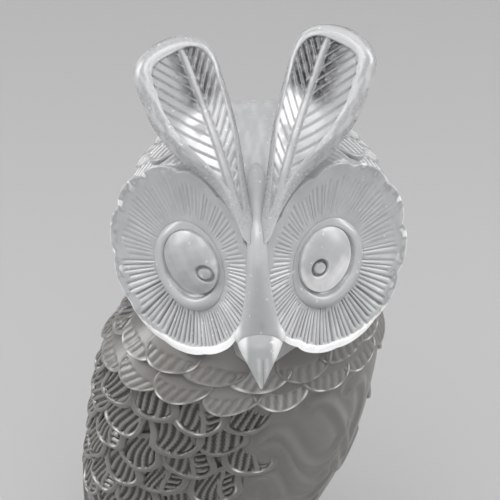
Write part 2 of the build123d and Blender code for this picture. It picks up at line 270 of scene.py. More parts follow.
def cubic(low, high, slope_low, slope_high, t):
    """Cubic from low to high with a slope at each end, as t goes from 0 to 1."""
    return (
        low * (2 * t**3 - 3 * t**2 + 1) + high * (3 * t**2 - 2 * t**3)
        + slope_low * (t**3 - 2 * t**2 + t) + slope_high * (t**3 - t**2)
    )


def curve_value(rows, at):
    """Value of a smooth curve through (place, value) rows."""
    knots, values = np.array(rows).T
    slopes = np.gradient(values, knots)
    low = np.clip(np.searchsorted(knots, at, side="right") - 1, 0, len(knots) - 2)
    span = knots[low + 1] - knots[low]
    share = (at - knots[low]) / span
    return cubic(values[low], values[low + 1], slopes[low] * span, slopes[low + 1] * span, share)


def curve_points(rows, at):
    """Columns of a smooth curve through rows of points, at places counted in rows."""
    rows = np.array(rows, float)
    knots = np.arange(len(rows))
    return [curve_value(np.stack([knots, column], -1), at) for column in rows.T]


# Meshes

def grid_faces(rows, columns, wrap=False, start=0):
    """Quads of a grid whose points are stored row by row."""
    low = start + np.arange(rows - 1)[:, None] * columns
    j = np.arange(columns if wrap else columns - 1)
    k = (j + 1) % columns
    return np.stack([low + j, low + k, low + columns + k, low + columns + j], -1).reshape(-1, 4).tolist()


def bar_faces(steps, around):
    """Side and two ends of a closed bar, whose points are stored ring by ring."""
    ends = [list(range(around)), [(steps - 1) * around + i for i in range(around)]]
    return grid_faces(steps, around, wrap=True) + ends


def border(rows, columns):
    """Places of a grid's border points, once round, for points stored row by row."""
    ring = list(range(columns))
    ring += [i * columns + columns - 1 for i in range(1, rows)]
    ring += [(rows - 1) * columns + j for j in range(columns - 2, -1, -1)]
    return ring + [i * columns for i in range(rows - 2, 0, -1)]


def add_piece(parts, slot, *nodes, weld=False):
    """One object from (points, faces, frost) parts, named after the first CAD node it stands for.

    weld joins points that lie on each other, as at the middle of a polar grid.
    """
    name = f"{nodes[0]}_carved"
    points, faces, frost, start = [], [], [], 0
    for part_points, part_faces, part_frost in parts:
        points.append(part_points.reshape(-1, 3))
        faces += [[start + i for i in face] for face in part_faces]
        frost.append(np.ravel(part_frost))
        start += len(points[-1])
    mesh = bpy.data.meshes.new(name)
    mesh.from_pydata((np.concatenate(points) * MM).tolist(), [], faces)
    mesh.attributes.new("frost", "FLOAT", "POINT").data.foreach_set(
        "value", np.concatenate(frost).astype(np.float32)
    )
    close_shell(mesh, weld)
    piece = bpy.data.objects.new(name, mesh)
    bpy.context.scene.collection.objects.link(piece)
    mesh.materials.append(crystals[slot])
    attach(piece, "root")
    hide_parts(*nodes)


def close_shell(mesh, weld):
    """Normals that point out of every shell, and smooth shading broken at real edges."""
    work = bmesh.new()
    work.from_mesh(mesh)
    bmesh.ops.recalc_face_normals(work, faces=work.faces)
    if weld:
        bmesh.ops.remove_doubles(work, verts=work.verts, dist=0.01 * MM)
    work.to_mesh(mesh)
    work.free()
    mesh.shade_smooth()
    mesh.set_sharp_from_angle(angle=math.radians(55))


# Materials

def fill(tree, node, values, links):
    """Set some of a node's inputs and link others."""
    for socket, value in values.items():
        node.inputs[socket].default_value = value
    for socket, source in links.items():
        tree.links.new(source, node.inputs[socket])
    return node


def noise(tree, scale, detail):
    """Noise in the object's own coordinates, about scale waves a metre."""
    place = tree.nodes.new("ShaderNodeTexCoord").outputs["Object"]
    texture = tree.nodes.new("ShaderNodeTexNoise")
    return fill(tree, texture, {"Scale": scale, "Detail": detail}, {"Vector": place}).outputs["Fac"]


def remap(tree, value, low, high, start=0.0, end=1.0):
    """low where the value is start, high where it is end, and held beyond them."""
    limits = {"From Min": start, "From Max": end, "To Min": low, "To Max": high}
    return fill(tree, tree.nodes.new("ShaderNodeMapRange"), limits, {"Value": value}).outputs["Result"]


def combine(tree, operation, a, b):
    """Two values multiplied or added, held between 0 and 1."""
    node = fill(tree, tree.nodes.new("ShaderNodeMath"), {}, {0: a, 1: b})
    node.operation = operation
    node.use_clamp = True
    return node.outputs["Value"]


def frost_level(tree, flecks, even):
    """Frost with clouds, fine specks and white flecks in it. A mesh without frost takes even."""
    if even is None:
        frost = tree.nodes.new("ShaderNodeAttribute")
        frost.attribute_name = "frost"
        level = frost.outputs["Fac"]
    else:
        level = tree.nodes.new("ShaderNodeValue").outputs["Value"]
        level.default_value = even
    level = combine(tree, "MULTIPLY", level, remap(tree, noise(tree, 160.0, 3.0), 0.86, 1.1))
    level = combine(tree, "MULTIPLY", level, remap(tree, noise(tree, 700.0, 5.0), 0.95, 1.05))
    return combine(tree, "ADD", level, remap(tree, noise(tree, 1300.0, 4.0), 0.0, flecks, 0.665, 0.71))


def crystal(
    name, clear, ground, white, through, polish=0.08, matt=0.42, coat=0.15, relief=1.0, flecks=0.14,
    even=None,
):
    """Crystal whose colour, roughness, clearness and grain follow the frost.

    clear, ground and white are its colours, through is the transmission of clear crystal, polish and
    matt are the roughness of clear and of white crystal, and relief scales the ground grain.
    """
    material = bpy.data.materials.new(name)
    material.use_nodes = True
    tree = material.node_tree
    level = frost_level(tree, flecks, even)
    tone = fill(tree, tree.nodes.new("ShaderNodeValToRGB"), {}, {"Fac": level})
    stops = tone.color_ramp.elements
    stops.new(GROUND_FROST)
    for stop, shade in zip(stops, (clear, ground, white)):
        stop.color = (*shade, 1)
    grain = remap(tree, noise(tree, 2600.0, 2.0), 0.85, 1.15)
    bump = fill(
        tree, tree.nodes.new("ShaderNodeBump"), {"Distance": 0.01 * MM * relief},
        {"Strength": remap(tree, level, 0.02, 0.3), "Height": noise(tree, 1700.0, 2.0)},
    )
    same_all_over = {
        "IOR": 1.54, "Coat Weight": coat, "Coat Roughness": 0.18, "Subsurface Weight": 0.5,
        "Subsurface Radius": (1.0, 1.0, 1.0), "Subsurface Scale": 1.5 * MM,
    }
    varying = {
        "Base Color": tone.outputs["Color"],
        "Roughness": combine(tree, "MULTIPLY", remap(tree, level, polish, matt), grain),
        "Transmission Weight": remap(tree, level, through, 0.0, end=OPAQUE_FROST),
        "Normal": bump.outputs["Normal"],
    }
    fill(tree, tree.nodes["Principled BSDF"], same_all_over, varying)
    return material


def head_crystal():
    """Light grey ground crystal, dark and clear where its frost is low, as in the disc grooves, whose
    darkness is partly painted shade.
    """
    return crystal(
        "crystal_head", clear=(0.13, 0.134, 0.14), ground=(0.39, 0.395, 0.40),
        white=(0.95, 0.95, 0.95), through=0.5, matt=0.48,
    )


def ear_crystal():
    """The clearest crystal, dark where it is polished."""
    return crystal(
        "crystal_ear", clear=(0.05, 0.052, 0.056), ground=(0.38, 0.385, 0.39),
        white=(0.95, 0.95, 0.95), through=0.7,
    )


def eye_crystal():
    """Cabochon with a softer gloss than the head's."""
    return crystal(
        "crystal_eye", clear=(0.09, 0.094, 0.10), ground=(0.37, 0.375, 0.385),
        white=(0.9, 0.9, 0.9), through=0.5, polish=0.2, matt=0.5, coat=0.1,
    )


def body_crystal():
    """The head's crystal painted darker as shade, slightly warm, with hardly any grain."""
    return crystal("crystal_body", **SHADED_BODY_TONES, matt=0.56, coat=0.04, relief=0.3, flecks=0.0)


def torso_crystal():
    """The body's tones, painted darker as shade, for the CAD torso, whose mesh carries no frost."""
    return crystal("crystal_torso", **SHADED_BODY_TONES, even=0.5)


# Facial discs and eyes

def disc_axes(side):
    """Columns across, up and out of a facial disc, in the head frame."""
    return turn("z", side * DISC_YAW) @ turn("x", 90 - DISC_TILT)


def disc_point(side, local):
    """Disc coordinates (towards the owl's left, up, out of the face) to the part's own."""
    centre = DISC_CENTRE * (side, 1, 1)
    return from_head(local @ disc_axes(side).T + centre)


def polar_part(side, points, frost):
    """A part from disc coordinates on rays: points[ray, step along it]."""
    rays, steps = points.shape[:2]
    return disc_point(side, points.transpose(1, 0, 2)), grid_faces(steps, rays, wrap=True), frost.T


def eye_centre(side):
    return np.array((-side * EYE_SHIFT, 0.0))


def rim_radius(angle):
    """Scalloped rim of a facial disc, from the disc's centre."""
    lobe = np.abs(np.sin(angle * DISC_LOBES / 2))
    deep = 1 - 0.7 * smooth(-0.5, -0.9, np.sin(angle))
    return DISC_RADIUS - DISC_NOTCH * deep * (1 - lobe) ** 1.6


def disc_grid(side, angles, shares):
    """Disc coordinates on rays from the eye: share 0 at the eye's bore, 1 at the rim."""
    eye = eye_centre(side)
    ray = np.stack([np.cos(angles), np.sin(angles)], -1)
    reach = np.full(len(angles), DISC_RADIUS)
    for _ in range(12):
        point = eye + ray * reach[:, None]
        angle = np.arctan2(point[:, 1], point[:, 0])
        reach += rim_radius(angle) - np.linalg.norm(point, axis=1)
    inner = RING_RADIUS - 0.3
    distance = inner + (reach - inner)[:, None] * shares[None, :]
    return eye + ray[:, None, :] * distance[..., None], reach


def groove_angles():
    """Angles of a disc's rays, GROOVE_RAYS for each groove. The grooves are unevenly wide."""
    jitter = rng.uniform(-0.25, 0.25, GROOVES)
    bounds = np.arange(GROOVES + 1) + np.append(jitter, jitter[0])
    at = np.arange(GROOVES * GROOVE_RAYS) / GROOVE_RAYS
    return np.interp(at, np.arange(GROOVES + 1), bounds) * 2 * math.pi / GROOVES


def disc_grooves(lowness, shares):
    """Each groove's section, where along its rays it runs, and how deep it is."""
    ray = np.arange(GROOVES * GROOVE_RAYS)[:, None]
    groove = ray // GROOVE_RAYS
    depth = rng.uniform(0.55, 1.1, GROOVES)[groove]
    start = rng.uniform(0.05, 0.2, GROOVES)[groove]
    end = mix(0.76, 0.88, lowness) - rng.uniform(0.0, 0.12, GROOVES)[groove]
    across = np.abs((ray % GROOVE_RAYS) / GROOVE_RAYS - 0.5) * 2
    hollow = 1 - smooth(0.0, 0.8, across)
    span = smooth(start, start + 0.12, shares) * (1 - smooth(end, end + 0.06, shares))
    return hollow, span, hollow * span * depth * mix(0.52, 1.0, lowness)


def facial_disc(side, name):
    """Dish with grooves that fan out from the eye, and a bevel on the lower rim painted white as a
    highlight.
    """
    angles = groove_angles()
    shares = np.linspace(0, 1, DISC_RINGS)
    flat, reach = disc_grid(side, angles, shares)
    x, y = flat[..., 0], flat[..., 1]
    to_rim = reach[:, None] * (1 - shares)
    low = 0.5 + 0.5 * np.cos(angles - math.radians(-90 - side * 12))[:, None]
    outer = 0.5 + 0.5 * side * np.cos(angles)[:, None]
    lowness = smooth(0.4, 0.8, low)
    hollow, span, cut = disc_grooves(lowness, shares)
    into_bevel = 1 - to_rim / mix(0.4, 2.1, smooth(0.78, 0.99, low))
    bevel = smooth(0.0, 1.0, into_bevel)
    facet = smooth(0.0, 0.14, into_bevel)
    dish = -DISC_DISH * (1 - (x**2 + y**2) / DISC_RADIUS**2)
    height = dish - 0.26 * cut - 0.3 * bevel + 0.12 * facet

    # Painted shade and light: the grooves are painted darker and the ridges between them lighter, most
    # in the lower half
    frost = 0.6 - 0.3 * cut * lowness + 0.08 * (1 - hollow) * span * lowness - 0.07 * cut
    frost = frost + 0.08 * (ripple(x, y, 1.7, 41 + side) - 0.5)
    # Painted highlight: the rim's bevel is painted white on its lower side and lighter on its outer side
    rim_with_painted_highlight = mix(0.64 + 0.14 * smooth(0.4, 0.8, outer), 0.97, smooth(0.72, 0.93, low))
    frost = mix(frost, rim_with_painted_highlight, facet)
    # Clear patches near the outer rim, with white spots in them painted as glints
    glassy = smooth(0.5, 0.95, outer) * (1 - smooth(0.8, 3.6, to_rim))
    spots = ripple(x, y, 0.9, 21 + side)
    frost = frost - 0.16 * glassy * smooth(0.25, 0.6, spots) + 0.36 * glassy * smooth(0.74, 0.95, spots)

    face = np.stack([x, y, height], -1)
    drop = np.array((1.3, 2.2, DISC_THICK))[:, None]
    wall = face[:, -1:] * (1, 1, 0) * (1 - 0.02 * drop) - drop * (0, 0, 1)
    bore = face[:, :1] * (1, 1, 0) - (0, 0, DISC_THICK)
    points = np.concatenate([bore, face, wall, bore], 1)
    frost = np.concatenate([frost[:, :1], frost, np.full(wall.shape[:2], 0.55), frost[:, :1]], 1)
    add_piece([polar_part(side, points, frost)], "crystal_head", f"facial_disc_{name}")


def eye_ring(side, name):
    """Rolled ring round the eye's bore, wide and proud at its lower outer side."""
    radius, height, frost = np.array(RING_PROFILE + RING_PROFILE[:1]).T
    angles = circle(ROUND_STEPS)[:, None]
    creep = smooth(RING_BORE + 0.1, RING_RADIUS, radius) * RING_CREEP
    centre = eye_centre(side)
    x = centre[0] + radius * np.cos(angles) + creep * side * 0.6
    y = centre[1] + radius * np.sin(angles) - creep * 0.8
    proud = mix(0.1, 1.0, smooth(-0.6, 0.5, np.cos(angles - math.radians(-90 + side * 45))))
    height = height + (proud - 1) * np.clip(height + 0.65, 0, None)
    part = polar_part(side, np.stack([x, y, height], -1), np.broadcast_to(frost, x.shape))
    add_piece([part], "crystal_head", f"eye_ring_{name}")


def eye(side, name):
    """Domed eye on rays from its drilled pupil ring, so that the ring is crisp."""
    pupil = np.array(PUPIL_SHIFT[side])
    angles = circle(ROUND_STEPS)
    ray = np.stack([np.cos(angles), np.sin(angles)], -1)
    along = ray @ pupil
    reach = -along + np.sqrt(along**2 + EYE_RADIUS**2 - pupil @ pupil)
    near = np.array([0.0, 0.3, 0.6, 0.76, 0.84, 0.95, 1.1, 1.22, 1.32, 1.42, 1.6])
    far = near[-1] + (reach - near[-1])[:, None] * np.linspace(0, 1, 30)[1:]
    distance = np.concatenate([np.broadcast_to(near, (ROUND_STEPS, len(near))), far], 1)
    flat = pupil + ray[:, None] * distance[..., None]
    drilled = smooth(PUPIL_INNER - 0.06, PUPIL_INNER + 0.06, distance)
    drilled = drilled * (1 - smooth(PUPIL_OUTER - 0.08, PUPIL_OUTER + 0.08, distance))
    dome_radius = (EYE_RADIUS**2 + EYE_DOME**2) / (2 * EYE_DOME)
    dome = np.sqrt(dome_radius**2 - (flat**2).sum(-1)) - dome_radius + EYE_DOME
    height = dome * EYE_FLATTEN - EYE_SINK - PUPIL_DEPTH * drilled

    ground, lower, ring, clouds = EYE_FROST[side]
    frost = ground + lower * smooth(1.5, -3.0, flat[..., 1]) - ring * drilled
    frost = frost + 0.08 * smooth(3.8, 4.5, np.linalg.norm(flat, axis=-1))
    frost = frost + clouds * (ripple(flat[..., 0], flat[..., 1], 0.9, 31 + side) - 0.5)

    centre = eye_centre(side) + (-side * EYE_CROWD[0], EYE_CROWD[1])
    face = np.concatenate([flat * EYE_SCALE[side] + centre, height[..., None]], -1)
    skirt = face[:, -1:] * (1, 1, 0) - (0, 0, DISC_THICK)
    frost = np.concatenate([frost, np.full((ROUND_STEPS, 1), 0.4)], 1)
    part = polar_part(side, np.concatenate([face, skirt], 1), frost)
    part[1].append([face.shape[1] * ROUND_STEPS + i for i in range(ROUND_STEPS)])
    add_piece([part], "cabochon", f"eye_{name}", weld=True)


# Ear tufts

def ear_outline(run):
    """Inner and outer edge at a distance from the ear's root: side curves, then a round tip."""
    start = EAR_OUTER[-1][0]
    t = np.clip((run - start) / (EAR_TIP[0] - start), 0, 1)
    round_off = np.sqrt(np.clip(1 - t**3.2, 0, 1)) * smooth(-1.0, 1.6, run)
    held = np.minimum(run, start)
    middle = np.where(run > start, EAR_TIP[1], 0.0)
    inner, outer = curve_value(EAR_INNER, held), curve_value(EAR_OUTER, held)
    return mix(middle, inner, round_off), mix(middle, outer, round_off)


def ear_point(side, local):
    """Ear coordinates (towards its outer edge, along it, out of its front) to the part's own."""
    along = normalised(EAR_RUN)
    out = np.array((0, -1, 0.66))
    out = normalised(out - along * (out @ along))
    across = np.cross(along, out)
    axes = np.stack([across, along, out], -1) @ turn("y", EAR_TURN)
    return from_head((local @ axes.T + EAR_ROOT) * (side, 1, 1))


def ear_sheet():
    """Across and along coordinates of an ear's points, and their distance to its outline."""
    columns, rows = EAR_GRID
    run = EAR_LENGTH * np.sin(np.linspace(0, 1, rows) * math.pi / 2)
    inner, outer = ear_outline(run)
    share = np.sin(np.linspace(-1, 1, columns) * math.pi / 2)
    x = ((inner + outer) / 2)[:, None] + share * ((outer - inner) / 2)[:, None]
    y = np.broadcast_to(run[:, None], x.shape)
    edge = np.full(x.shape, EAR_LENGTH)
    for outline_x, outline_y in zip(np.concatenate([inner, outer]), np.concatenate([run, run])):
        edge = np.minimum(edge, np.hypot(x - outline_x, y - outline_y))
    return x, y, edge


def ear_carving(side, x, y, edge):
    """Depth cut in an ear and its frost: rim, double rachis, slanting barbs, and a clear patch."""
    off = x - mix(-0.1, -0.5, smooth(4, 22, y))
    outside = off > 0
    low = smooth(1.5, 6.0, y)
    top = smooth(18.5, 21, y + 0.25 * off)
    margin = mix(1.0, 1.55, smooth(10, 18, y) * smooth(-2.0, 2.0, off)) + 0.8 * smooth(24, 29, y)
    panel = smooth(margin, margin + 0.3, edge)

    slope = np.where(outside, mix(0.85, 1.2, smooth(10, 26, y)), mix(1.25, 1.5, smooth(12, 26, y)))
    pitch = np.where(outside, 1.65, 1.45)
    barb = (y - np.abs(off) * slope + np.where(outside, 0.0, 0.6)) / pitch
    from_barb = np.abs(barb - np.round(barb)) * 2
    beyond = np.abs(off) - mix(0.5, 0.36, smooth(8, 26, y))
    shaft = beyond < 0
    line = 1 - smooth(mix(0.16, 0.1, top), mix(0.42, 0.3, top), from_barb)
    groove = np.maximum(line * smooth(-0.1, 0.15, beyond), bell(beyond, 0, 0.17)) * panel
    cut = (0.22 * panel + 0.2 * groove - 0.1 * shaft * panel) * low

    # Painted reflection: cells halfway up, near each shaft, are painted white, most on the owl's right
    # of the shaft
    bright = np.where(outside == (side < 0), 1.0, 0.45) * mix(1.0, 0.15, smooth(2.0, 5.0, np.abs(off)))
    patch = smooth(8, 12, y) * (1 - top) * smooth(-0.2, 0.45, ripple(x, y, 1.5, 3 + side))
    width, clear = EAR_GLASS[side]
    flaws = mix(0.6, 1.0, smooth(0.2, 0.5, ripple(x, y, 0.5, 8 + side)))
    glassy = np.exp(-(((off + 0.4) / width) ** 4)) * flaws
    cell = mix(0.55 + 0.36 * patch * bright, mix(0.45, clear, glassy), top)
    cell = np.where(shaft, mix(cell, 0.66, 0.7), cell)
    carved = mix(cell, mix(0.6, 0.52, top), groove)
    streak = ripple(edge * 3.0, y * 0.6, 0.8, 11 + side)
    rim = 0.57 + 0.12 * smooth(0.35, 0.75, streak) * smooth(8, 14, y)
    return cut, mix(0.62, mix(rim, carved, panel), low)


def ear_tuft(side, name):
    """Thick leaf with a rounded rim, carved the same on its front and back."""
    x, y, edge = ear_sheet()
    cut, frost = ear_carving(side, x, y, edge)
    round_rim = np.sqrt(1 - (1 - np.clip(edge / EAR_RIM, 0, 1)) ** 2)
    height = EAR_THICK / 2 * mix(0.12, 1.0, smooth(0, 15, y)) * round_rim - cut
    front = np.stack([x, y * EAR_STRETCH[side], height], -1)
    back = (front * (1, 1, -1))[:, ::-1]
    points = np.concatenate([front, back[:, 1:-1]], 1)
    frost = np.concatenate([frost, frost[:, ::-1][:, 1:-1]], 1)
    rows, around = points.shape[:2]
    quads = grid_faces(rows, around, wrap=True)
    quads.append(list(range(around)))
    add_piece([(ear_point(side, points), quads, frost)], "crystal_ear", f"ear_tuft_{name}", weld=True)


# Body surface and feathers

def body_section(height):
    """Centre, half width and half depth of the body at heights: a cubic through the sections."""
    rows = BODY_SECTIONS
    height = np.asarray(height, float)
    at = np.searchsorted(rows[:, 0], np.clip(height, 0, None), side="right") - 1
    at = np.clip(at, 0, len(rows) - 2)
    low, high = rows[at], rows[at + 1]
    before, after = rows[np.maximum(at - 1, 0)], rows[np.minimum(at + 2, len(rows) - 1)]
    span = (high - low)[..., :1]
    share = (height[..., None] - low[..., :1]) / span
    slope_low = (high - before) / (high - before)[..., :1] * span
    slope_high = (after - low) / (after - low)[..., :1] * span
    return np.moveaxis(cubic(low, high, slope_low, slope_high, share)[..., 1:], -1, 0)


def body_point(azimuth, height, lift):
    """A point above the body's outer surface, azimuth degrees from the breast to the owl's left."""
    centre, half_width, half_depth = body_section(height)
    angle = np.radians(azimuth)
    x = (half_width + lift) * np.sin(angle)
    y = centre - (half_depth + lift) * np.cos(angle)
    return np.stack(np.broadcast_arrays(x, y, height), -1)


def on_body(azimuth, height, lean=0.0, base=-CLADDING):
    """Placement of a feather on the body: across, up and out to the part's own coordinates."""
    wide = body_point(azimuth + 0.5, height, base) - body_point(azimuth - 0.5, height, base)
    tall = body_point(azimuth, height + 0.5, base) - body_point(azimuth, height - 0.5, base)
    wide, tall = np.linalg.norm(wide), np.linalg.norm(tall)
    c, s = math.cos(math.radians(lean)), math.sin(math.radians(lean))

    def place(u, v, h):
        across, up = c * u - s * v, s * u + c * v
        return from_body(body_point(azimuth + across / wide, height + up / tall, base + h))

    return place


def direction(azimuth, elevation):
    """Unit vectors from an azimuth and an elevation in radians."""
    level = np.cos(elevation)
    x, y, z = level * np.sin(azimuth), -level * np.cos(azimuth), np.sin(elevation)
    return np.stack(np.broadcast_arrays(x, y, z), -1)


def on_skull(azimuth, elevation):
    """Placement of a feather on the skull."""
    unit = direction(math.radians(azimuth), math.radians(elevation))
    radii = np.array((SKULL_RADIUS, SKULL_DEPTH, SKULL_RADIUS))
    point = unit * radii + (0, SKULL_BACK, 0)
    out = normalised(unit / radii)
    level = normalised(np.cross((0, 0, 1), out))
    up = np.cross(out, level)

    def place(u, v, h):
        drop = h - (u**2 + v**2) / (2 * SKULL_RADIUS)
        return from_head(point + level * u[..., None] + up * v[..., None] + out * drop[..., None])

    return place


def feather_shell(place, u, v, h, skirt):
    """Points and faces of a feather: its front, a wall round it and an underside at skirt."""
    rows, columns = u.shape
    u, v, h = u.ravel(), v.ravel(), h.ravel()
    ring = border(rows, columns)
    under = np.full(len(ring), skirt)
    points = [place(u, v, h), place(u[ring], v[ring], under), place(np.zeros(1), np.zeros(1), under[:1])]
    faces = grid_faces(rows, columns)
    lower = [len(u) + i for i in range(len(ring))]
    middle = len(u) + len(ring)
    for a, b, c, d in zip(ring, ring[1:] + ring[:1], lower[1:] + lower[:1], lower):
        faces += [[a, b, c, d], [d, c, middle]]
    return np.concatenate(points), faces


def feather(
    place, width, length, tip, band, ground, lift, left, right=None, rachis=None, pitch=1.05, barb=0.62,
    band_frost=0.62, bare=0.0, root=-0.1, depth=0.4, glint=0.0, sway=0.0, lip=0.32, bead=0.45,
    ragged=0.0, wave=0.0, skirt=-1.2, detail=(54, 46),
):
    """A U-shaped feather with a raised border and slanting barbs.

    u runs across it, v up it from its middle. root, lift and skirt are heights over its bed, at its
    top, near its tip and underneath. left and right are the barbs' slants, right past a rachis.
    """
    columns, rows = detail
    half = width / 2
    u = half * np.sin(np.linspace(-0.995, 0.995, columns) * math.pi / 2)
    end = -length / 2 + tip * (1 - np.sqrt(1 - (u / half) ** 2))
    v = mix(length / 2, end, np.linspace(0, 1, rows)[:, None])
    u = np.broadcast_to(u, v.shape)
    below = np.clip(-length / 2 + tip - v, 0, None) * half / tip
    edge = np.clip((half - np.hypot(u, below)) * min(1.0, tip / half + 0.2), 0, None)
    along = (length / 2 - v) / length
    inside = smooth(band - 0.05, band + 0.22, edge)
    if bare:
        inside = inside * (1 - smooth(length / 2 - bare - 0.4, length / 2 - bare + 0.2, v))
    gaps = rng.uniform(0.0, ragged, 64) if ragged else np.zeros(64)

    def barbs(angle, du):
        slant = math.radians(angle)
        q = (v * math.cos(slant) - du * math.sin(slant)) / pitch + 0.5 * sway * (du / half) ** 2
        from_barb = np.abs(q - np.round(q)) * 2
        gap = gaps[np.round(q).astype(int) % len(gaps)]
        return (1 - smooth(0.3, 0.72, from_barb)) * smooth(gap - 0.25, gap + 0.05, edge - band)

    lines = barbs(left, u)
    if rachis is not None:
        du = u - rachis - 0.12 * v
        lines = np.where(du < 0, lines, barbs(right, du)) * smooth(0.3, 0.6, np.abs(du))
        lines = np.maximum(lines, 1 - smooth(0.28, 0.5, np.abs(du)))
    rounded = np.sqrt(1 - (1 - np.clip(edge / bead, 0, 1)) ** 2)
    h = mix(root, lift, smooth(0, 1.15, along)) + lip * (rounded - 1)
    h = h - depth * inside * (1 - 0.62 * lines)
    frost = mix(band_frost, mix(ground, barb, lines), inside)
    # Painted highlight: glint paints white along the border's inner edge on the feather's lower side
    inner_edge = smooth(band - 0.25, band - 0.05, edge) * (1 - smooth(band + 0.05, band + 0.2, edge))
    low_side = smooth(0.45, 0.8, along) * (0.55 + 0.45 * np.sin(u * 2.3 + 9.0 * sway + pitch))
    frost = mix(frost, 1.0, glint * inner_edge * low_side)
    if wave:
        phase = rng.uniform(0, 6.28, 2)
        u, v = u + wave * np.sin(0.8 * v + phase[0]), v + wave * np.sin(0.7 * u + phase[1])
    points, faces = feather_shell(place, u, v, h, skirt)
    under_frost = np.full(len(points) - frost.size, band_frost)
    return points, faces, np.concatenate([frost.ravel(), under_frost])


def row_azimuths(height, shift):
    """Azimuths of feathers evenly spaced round the body, shift of a step past the tail."""
    azimuth = np.arange(-180.0, 181.0)
    ring = body_point(azimuth, height, -CLADDING)
    girth = np.concatenate([[0], np.cumsum(np.linalg.norm(np.diff(ring, axis=0), axis=1))])
    return np.interp(girth[-1] * (np.arange(ROW_COUNT) + shift) / ROW_COUNT, girth, azimuth)


def ruff_feather(azimuth, height, length):
    """Wide feather of the collar: thin border, short upright barbs. The collar dips under the beak."""
    # Painted light: under the beak the border, ground and barbs are painted lighter, lifting the shade
    # that the beak and discs cast there
    under_beak = bell(azimuth, -20, 22)
    dip = 0.8 * bell(azimuth, -60, 25) - 1.0 * under_beak
    return feather(
        on_body(azimuth, height + dip, 0.12 * azimuth), 8.6, length, tip=3.4, band=0.35,
        band_frost=0.56 + 0.14 * under_beak, ground=0.46 + 0.2 * under_beak,
        barb=0.6 + 0.12 * under_beak, pitch=1.25, lip=0.2, wave=0.25, left=80 + rng.uniform(-8, 6),
        bare=length - 2.8, lift=1.3, depth=0.2, glint=rng.choice((0.1, 0.3, 0.8)), sway=0.5,
    )


def wing_feather(azimuth, height, length, side):
    """Wing covert: broad grey border round dark clear ground. About one in three has a rachis."""
    with_rachis = rng.integers(0, 3) == 0
    lean = -side * (9 + rng.uniform(-10, 10))
    shape = dict(
        tip=3.0 + rng.uniform(-0.5, 0.5), band=0.9 + rng.uniform(-0.15, 0.15), bare=0.14 * length,
        glint=rng.choice((0.0, 0.2, 0.9)), lift=1.15 + rng.uniform(-0.15, 0.2), sway=rng.uniform(-1, 1),
        lip=0.3, bead=0.95, ragged=0.5, wave=0.4, depth=0.42, band_frost=0.48, ground=0.03, barb=0.54,
    )
    place = on_body(azimuth + rng.uniform(-2.5, 2.5), height + rng.uniform(-0.5, 0.5), lean)
    if with_rachis:
        shape.update(left=66 + rng.uniform(-5, 8), rachis=0.8, right=12.0)
    else:
        shape.update(left=62 + rng.uniform(-6, 10), pitch=1.1 + rng.uniform(0, 0.1))
    return feather(place, COVERT_WIDTH, length, **shape)


def back_feather(azimuth, height, length):
    """Feather of the back, with barbs down both sides of its rachis."""
    return feather(
        on_body(azimuth, height), COVERT_WIDTH, length, tip=3.3, band=0.8, rachis=0.0, right=-55.0,
        left=55.0, bare=0.36 * length, glint=0.4, lift=1.45, ground=0.2,
    )


def row_feather(number, azimuth, height, length):
    """One feather of a row and the CAD node that its set stands for. The breast has none."""
    if number <= len(RUFF_ROWS):
        if RUFF_EDGES[0] < azimuth < RUFF_EDGES[1]:
            node, hidden = RUFF_ROWS[number - 1]
            return node, ruff_feather(azimuth, height + hidden / 2, length + hidden)
    elif BREAST_EDGES[0] <= azimuth <= BREAST_EDGES[1]:
        return None, None
    elif BACK_EDGES[1] - 355 < azimuth < BREAST_EDGES[0]:
        return f"coverts_right_row_{number - 2}", wing_feather(azimuth, height, length, RIGHT)
    elif BREAST_EDGES[1] < azimuth < BACK_EDGES[0] - 5:
        return f"coverts_left_row_{number - 2}", wing_feather(azimuth, height, length, LEFT)
    return f"back_feathers_row_{number}", back_feather(azimuth, height, length)


def body_rows():
    """Rows of feathers round the body. Every other row is shifted by half a feather."""
    top = ROW_TOP
    for number, tip in enumerate(ROW_TIPS, 1):
        length = top + ROW_OVERLAP - tip
        sets = {}
        for azimuth in row_azimuths((top + tip) / 2, 0.5 * ((number + 1) % 2)):
            node, part = row_feather(number, azimuth, tip + length / 2, length)
            if node:
                sets.setdefault(node, []).append(part)
        for node, parts in sets.items():
            add_piece(parts, "crystal_body", node)
        top = tip


def flight_feathers():
    """Five long feathers below each wing's coverts, shorter towards the breast."""
    top = 28.0
    for side, name in SIDES:
        parts = [
            feather(
                on_body(side * azimuth, (top + tip) / 2, side * 5), 6.6, top - tip, tip=5.0, left=58.0,
                right=-58.0, bare=3.0, lift=1.2, detail=(48, 96), **LONG_FEATHER,
            )
            for azimuth, tip in zip(np.linspace(64, 128, 5), np.linspace(13.0, 8.4, 5))
        ]
        add_piece(parts, "crystal_body", f"flight_feathers_{name}")


def tail_place(number):
    """Placement of a tail feather, kept above the floor."""
    place = on_body(180 + 15.5 * number, 13.5, 2.5 * number, base=0.0)

    def above_floor(u, v, h):
        points = place(u, v, h)
        points[..., 2] = np.maximum(points[..., 2], ABOVE_FLOOR)
        return points

    return above_floor


def tail():
    """Five feathers, the middle one on top."""
    parts = [
        feather(
            tail_place(number), 5.4, 30.0, tip=2.7, left=55.0, right=-55.0, bare=2.0, root=1.4, lift=2.3,
            skirt=0.1 + 0.05 * abs(number), detail=(44, 130), **LONG_FEATHER,
        )
        for number in (-2, 2, -1, 1, 0)
    ]
    add_piece(parts, "crystal_body", "tail")


def skull_places(rows, side=LEFT):
    """Placements spread evenly along rows on the skull."""
    for elevation, first, last, count in rows:
        for k in range(count):
            yield on_skull(side * (first + (last - first) * (k + 0.5) / count), elevation)


